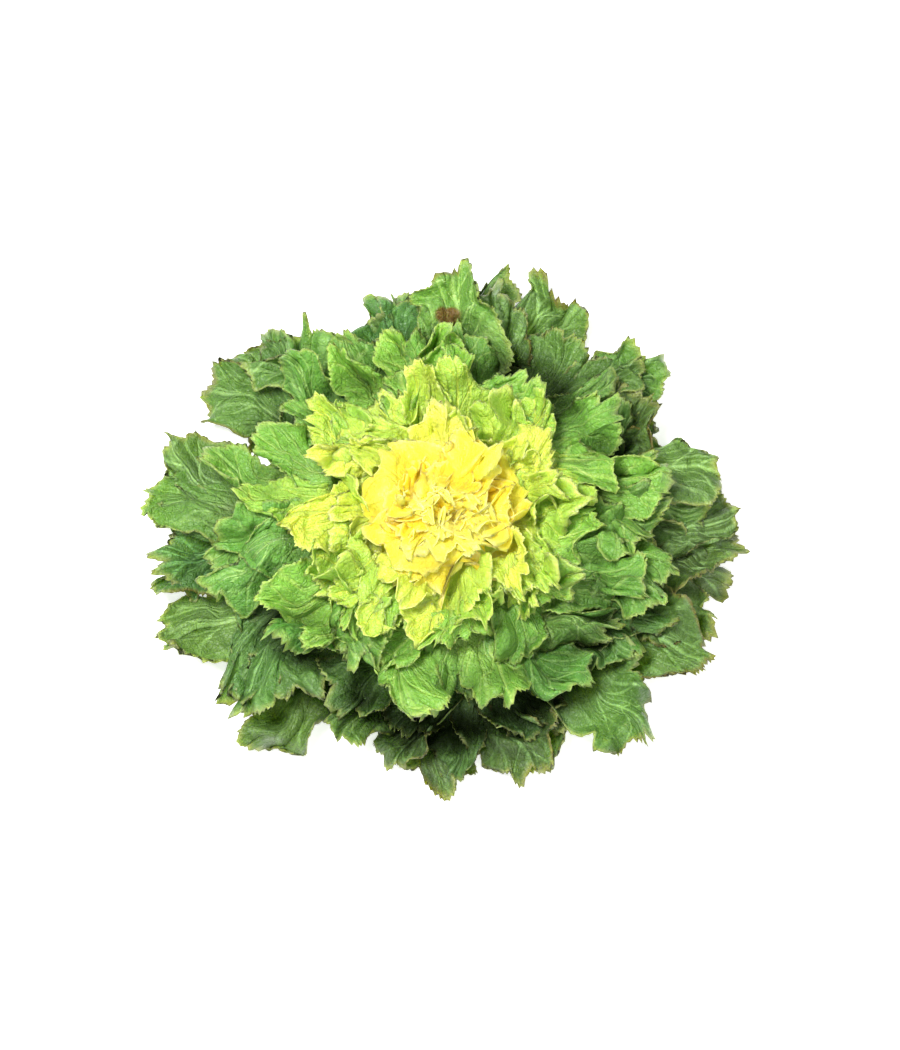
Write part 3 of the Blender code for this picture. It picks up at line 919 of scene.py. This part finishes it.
def turned(name, profile, flutes, depth):
    """A solid turned about the upright axis, its wall fluted where leaf bases clasp it."""
    shape = bmesh.new()
    rings = []
    for radius, height in profile:
        if radius == 0.0:
            rings.append([shape.verts.new((0.0, 0.0, height))])
            continue
        ring = []
        for i in range(TURNED_SIDES):
            angle = 2.0 * math.pi * i / TURNED_SIDES
            clasp = abs(math.cos(0.5 * flutes * angle + height * FLUTE_TWIST))
            reach = radius - depth * (1.0 - clasp)
            ring.append(shape.verts.new((reach * math.cos(angle), reach * math.sin(angle), height)))
        rings.append(ring)
    for lower, upper in zip(rings, rings[1:]):
        for i in range(TURNED_SIDES):
            corners = [lower[j % len(lower)] for j in (i, i + 1)]
            corners += [upper[j % len(upper)] for j in (i + 1, i)]
            shape.faces.new(dict.fromkeys(corners))
    bmesh.ops.recalc_face_normals(shape, faces=shape.faces)
    for face in shape.faces:
        face.smooth = True
    mesh = bpy.data.meshes.new(name)
    shape.to_mesh(mesh)
    shape.free()
    obj = bpy.data.objects.new(name, mesh)
    bpy.context.scene.collection.objects.link(obj)
    return obj


def base_material(name, fresh, cut):
    """Stem tissue, cut with a knife: pale, firm and watery.

    Light goes a little way into it, so it looks soft and waxy, with blotches and upright strings of
    vessels. The cut face has browned in the air, most at its edge, and shows the vessels as rings.
    """
    made = bpy.data.materials.new(name)
    made.use_nodes = True
    tree = made.node_tree
    shader = tree.nodes["Principled BSDF"]
    place = add_node(tree, "ShaderNodeTexCoord").outputs["Object"]
    x, y, z = parts_of(place)
    blotches = noise_field(tree, place, BLOTCHES)
    upright = vector_of(tree, *(part * stretch for part, stretch in zip((x, y, z), STRINGS_STRETCH)))
    strings = noise_field(tree, upright, STRINGS)
    from_axis = (x * x + y * y).math("SQRT") + blotches * 0.0006
    rings = (from_axis * VESSEL_RINGS).math("SINE") * 0.5 + 0.5
    body = mixed(tree, blotches.mapped(-0.4, 0.6) * 0.5 + strings.mapped(0.0, 0.6) * 0.3, *fresh)
    face = mixed(tree, rings * 0.35 + from_axis.mapped(*CUT_EDGE) * 0.6, *cut)
    body = mixed(tree, z.mapped(*BROWNED_UP_TO, 1.0, 0.0), body, face)
    tree.links.new(body, shader.inputs["Base Color"])
    shader.inputs["Roughness"].default_value = 0.5
    shader.inputs["Subsurface Weight"].default_value = 0.3
    shader.inputs["Subsurface Radius"].default_value = (1.0, 0.9, 0.5)
    shader.inputs["Subsurface Scale"].default_value = 0.003
    height = strings + blotches
    bump = add_node(tree, "ShaderNodeBump", {"Height": height, "Distance": 0.0006, "Strength": 0.6})
    tree.links.new(bump.outputs[0], shader.inputs["Normal"])
    return made


def colour(name, description, hex_colour):
    """A setting for a colour, whose default is an sRGB hex value."""
    return FloatVectorProperty(name=name, description=description, subtype="COLOR",
                               default=linear(hex_colour), min=0.0, max=1.0)


class LeafSettings(bpy.types.PropertyGroup):
    """Sizes of one blade."""

    thickness: FloatProperty(name="Blade thickness", description="Thickness of the blade away from its rib",
                             default=0.0008, min=0.0002, unit="LENGTH")
    stalk_thickness: FloatProperty(name="Stalk thickness", description="Thickness of the fleshy stalk",
                                   default=0.0035, min=0.0005, unit="LENGTH")
    stalk_share: FloatProperty(name="Stalk width", description="Width of the stalk against the fan's",
                               default=0.20, min=0.05, max=1.0, subtype="FACTOR")
    lobe_depth: FloatProperty(name="Lobe depth", description="How far lobes stand out of the fan's outline",
                              default=0.018, min=0.0, unit="LENGTH")
    tooth_depth: FloatProperty(name="Tooth depth", description="How far teeth stand out of the rim",
                               default=0.0026, min=0.0, unit="LENGTH")
    curl: FloatProperty(name="Curl", description="How far the rim turns up or down",
                        default=0.018, min=0.0, unit="LENGTH")
    frill: FloatProperty(name="Frill", description="Height of the fine waves at the rim",
                         default=0.0088, min=0.0, unit="LENGTH")
    crinkle: FloatProperty(name="Crinkle", description="Height of the blisters between the veins",
                           default=0.0026, min=0.0, unit="LENGTH")
    seed: IntProperty(name="Seed", description="Picks another pattern of lobes, teeth and crinkles",
                      default=5)


class LeafColours(bpy.types.PropertyGroup):
    """Colours of the leaf tissue."""

    blade_heart: colour("Heart", "Blade of the innermost leaves", "#F1E75C")
    blade_heart_edge: colour("Heart's edge", "Blade of the outermost yellow leaves", "#EFEC58")
    blade_inner: colour("Inner leaf", "Blade of the first greenish leaves", "#DCEA5C")
    blade_lime: colour("Lime leaf", "Blade of the lime-coloured leaves", "#B4D652")
    blade_young: colour("Young leaf", "Blade of the light green leaves", "#88BC48")
    blade_middle: colour("Middle leaf", "Blade of the mid-green leaves", "#68983E")
    blade_outer: colour("Outer leaf", "Blade of the dark green leaves", "#587C38")
    blade_lowest: colour("Lowest leaf", "Blade of the lowest leaves", "#506632")
    base_heart: colour("Heart base", "Base and veins of the innermost leaves", "#F3D82C")
    base_heart_edge: colour("Heart's edge base", "Base and veins of the outermost yellow leaves", "#F1E034")
    base_inner: colour("Inner base", "Base and veins of the lime-coloured leaves", "#D8E250")
    base_young: colour("Young base", "Base and veins of the light green leaves", "#B0D068")
    base_outer: colour("Outer base", "Base and veins of the dark green leaves", "#A2C878")
    base_lowest: colour("Lowest base", "Base and veins of the lowest leaves", "#94BC70")
    rib_heart: colour("Heart rib", "Rib of the innermost leaves", "#FFE640")
    rib_inner: colour("Inner rib", "Rib of the first greenish leaves", "#F6EE80")
    rib_middle: colour("Middle rib", "Rib of the mid-green leaves", "#E6F0B0")
    rib_lowest: colour("Lowest rib", "Rib of the lowest leaves", "#D5E4B8")
    # Painted shade: the deeper golden painted into the heart's hollows
    golden: colour("Deep heart", "What yellow leaves turn to deep in the heart", "#F2C408")
    # Partly the young rims' own paler colour, partly a painted highlight
    pale_rim_and_highlight: colour("Pale rim", "Rim of the young leaves", "#F8F498")
    browned_rim: colour("Browned rim", "Dried tips of the old leaves", "#5C4A1C")
    wilted: colour("Withered spot", "The withered spot at the back", "#6B3A24")
    # Painted shade: the near-black painted where leaves cover each other
    painted_shade_colour: colour("Between leaves", "The dark where leaves cover each other", "#0A1004")


class StemColours(bpy.types.PropertyGroup):
    """Colours of the stem tissue."""

    stem: colour("Stem", "Wall of the stem and of the leaf bases", "#EDEFCB")
    stem_green: colour("Stem blotches", "Greener blotches of that wall", "#CFDD9C")
    cut: colour("Cut face", "The cut face of the stem", "#C79A5E")
    cut_brown: colour("Browned cut", "Vessels and rim of the cut face", "#8C5A2C")
    core: colour("Core", "Core of the heart", "#F6EC9C")
    core_yellow: colour("Core blotches", "Yellower blotches of the core", "#EBDD6A")


class StageSettings(bpy.types.PropertyGroup):
    """Camera and light."""

    elevation: FloatProperty(name="Elevation", description="How steeply the camera looks down",
                             default=math.radians(75.0), subtype="ANGLE")
    lens: FloatProperty(name="Lens", description="Focal length in millimetres", default=100.0)
    frame_height: FloatProperty(name="Frame height", description="Height of what the camera sees",
                                default=0.6166, unit="LENGTH")
    sky: FloatProperty(name="Sky", description="Strength of the light from all sides", default=0.32)
    floor_glow: FloatProperty(name="Floor glow", description="Strength of the white floor's own light",
                              default=0.70)
    floor_colour: colour("Floor colour", "Colour of the floor", "#F7F7F5")


class EndiveOperator:
    """What the operators share."""

    bl_options = {"REGISTER", "UNDO"}


class ENDIVE_OT_leaves(EndiveOperator, bpy.types.Operator):
    """Grow all leaves of the head, the lower and the upper half of each set as one mesh"""

    bl_idname = "endive.leaves"
    bl_label = "Grow leaves"

    def execute(self, context):
        settings = context.scene.endive_leaf
        tree = blade_tree()
        inputs = {name: getattr(settings, setting) for name, _, setting in TREE_INPUTS if setting}
        first = 0
        for leaf_set in LEAF_SETS:
            leaves = leaves_of(leaf_set, first) + small_leaves_of(leaf_set, first)
            leaves.sort(key=lambda leaf: -leaf["age"])
            middle = len(leaves) // 2
            first += leaf_set.leaf_count
            for half, half_leaves in (("low", leaves[:middle]), ("high", leaves[middle:])):
                name = f"{leaf_set.name}_{half}"
                inputs["Points across"], inputs["Points along"] = leaf_set.points
                inputs["Material"] = leaf_material(name + " tissue", context.scene.endive_leaf_colours)
                obj = grown(name, half_leaves, tree, inputs)
                if not obj.data.polygons:
                    raise RuntimeError(f"{name} came out empty")
                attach(obj, "root")
                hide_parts(leaf_set.name)
        return {"FINISHED"}


class ENDIVE_OT_stem(EndiveOperator, bpy.types.Operator):
    """Add the cut stem, the leaf bases that clasp it and the core of the heart"""

    bl_idname = "endive.stem"
    bl_label = "Add stem"

    def execute(self, context):
        colours = context.scene.endive_stem_colours
        fresh = (colours.stem, colours.stem_green)
        heart = (colours.core, colours.core_yellow)
        pale = base_material("pale stem tissue", fresh, (colours.cut, colours.cut_brown))
        yellow = base_material("pale heart tissue", heart, heart)
        stem = [(0.0, 0.0)]
        stem += [(STEM_RADIUS * share, 0.0) for share in CUT_SHARES]
        stem += [(stem_radius(height), height) for height in STEM_HEIGHTS]
        stem.append((0.0, STEM_TOP))
        wall = [(0.0, RING_FOOT), (stem_radius(RING_FOOT), RING_FOOT)]
        wall += [(root_surface(height) + RING_PROUD, height) for height in RING_HEIGHTS]
        wall.append((0.0, STEM_TOP))
        core = [(0.0, CORE_FOOT)]
        for i in range(CORE_STEPS):
            height = between((CORE_FOOT, CORE_TOP), i / CORE_STEPS)
            core.append((core_radius(max(height, STEM_TOP)), height))
        core.append((0.0, CORE_TOP))
        for name, profile, flutes, depth, replaced, slot, material in (
                ("cut_stem", stem, 9, 0.0006, "stem", "stem", pale),
                ("leaf_bases", wall, 8, 0.0016, "outer_leaves", "outer_leaf", pale),
                ("heart_core", core, 5, 0.0010, "heart_leaves", "heart_leaf", yellow)):
            obj = turned(name, profile, flutes, depth)
            obj.data.materials.append(material)
            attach(obj, "root")
            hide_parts(replaced)
        return {"FINISHED"}


def floor_material(colour_value, glow):
    """Matt white paint on a smooth board, which shows only a faint shadow because it glows a little."""
    made = bpy.data.materials.new("matt white paint")
    made.use_nodes = True
    shader = made.node_tree.nodes["Principled BSDF"]
    shader.inputs["Base Color"].default_value = (*colour_value, 1.0)
    shader.inputs["Roughness"].default_value = 0.9
    shader.inputs["Emission Color"].default_value = (*colour_value, 1.0)
    shader.inputs["Emission Strength"].default_value = glow
    return made


class ENDIVE_OT_stage(EndiveOperator, bpy.types.Operator):
    """Add the floor, the light and the camera"""

    bl_idname = "endive.stage"
    bl_label = "Add stage"

    def execute(self, context):
        settings = context.scene.endive_stage
        scene = context.scene
        scene.view_settings.view_transform = "Standard"

        mesh = bpy.data.meshes.new("floor")
        shape = bmesh.new()
        bmesh.ops.create_grid(shape, x_segments=1, y_segments=1, size=FLOOR_HALF)
        shape.to_mesh(mesh)
        shape.free()
        mesh.materials.append(floor_material(settings.floor_colour, settings.floor_glow))
        floor = bpy.data.objects.new("floor", mesh)
        scene.collection.objects.link(floor)

        world = bpy.data.worlds.new("soft white room")
        world.use_nodes = True
        scene.world = world
        world.node_tree.nodes["Background"].inputs["Color"].default_value = (1.0, 1.0, 1.0, 1.0)
        world.node_tree.nodes["Background"].inputs["Strength"].default_value = settings.sky
        for name, place, size, power in LIGHTS:
            data = bpy.data.lights.new(name, "AREA")
            data.size = size
            data.energy = power
            light = bpy.data.objects.new(name, data)
            light.location = place
            light.rotation_mode = "QUATERNION"
            light.rotation_quaternion = (Vector(LIGHT_AIM) - Vector(place)).to_track_quat("-Z", "Y")
            scene.collection.objects.link(light)

        data = bpy.data.cameras.new("camera")
        data.lens = settings.lens
        data.clip_end = FARTHEST
        camera = bpy.data.objects.new("camera", data)
        scene.collection.objects.link(camera)
        distance = settings.frame_height * settings.lens / data.sensor_width
        back = Vector((0.0, -math.cos(settings.elevation), math.sin(settings.elevation)))
        up = Vector((0.0, math.sin(settings.elevation), math.cos(settings.elevation)))
        aim = Vector((1.0, 0.0, 0.0)) * CAMERA_AIM[0] + up * CAMERA_AIM[1]
        camera.location = aim + back * distance
        camera.rotation_mode = "QUATERNION"
        camera.rotation_quaternion = (-back).to_track_quat("-Z", "Y")
        scene.camera = camera
        return {"FINISHED"}


SETTINGS = {
    "endive_leaf": LeafSettings,
    "endive_leaf_colours": LeafColours,
    "endive_stem_colours": StemColours,
    "endive_stage": StageSettings,
}


class ENDIVE_PT_panel(bpy.types.Panel):
    """The add-on's panel"""

    bl_label = "Curly Endive Head"
    bl_idname = "ENDIVE_PT_panel"
    bl_space_type = "VIEW_3D"
    bl_region_type = "UI"
    bl_category = "Endive"

    def draw(self, context):
        for group, kind in SETTINGS.items():
            for name in kind.__annotations__:
                self.layout.prop(getattr(context.scene, group), name)
        for operator in OPERATORS:
            self.layout.operator(operator.bl_idname)


OPERATORS = (ENDIVE_OT_leaves, ENDIVE_OT_stem, ENDIVE_OT_stage)
CLASSES = (*SETTINGS.values(), *OPERATORS, ENDIVE_PT_panel)


def register():
    for cls in CLASSES:
        bpy.utils.register_class(cls)
    for group, kind in SETTINGS.items():
        setattr(bpy.types.Scene, group, PointerProperty(type=kind))


def unregister():
    for group in SETTINGS:
        delattr(bpy.types.Scene, group)
    for cls in reversed(CLASSES):
        bpy.utils.unregister_class(cls)


def main():
    register()
    bpy.ops.endive.leaves()
    bpy.ops.endive.stem()
    bpy.ops.endive.stage()


if __name__ == "__main__":
    main()
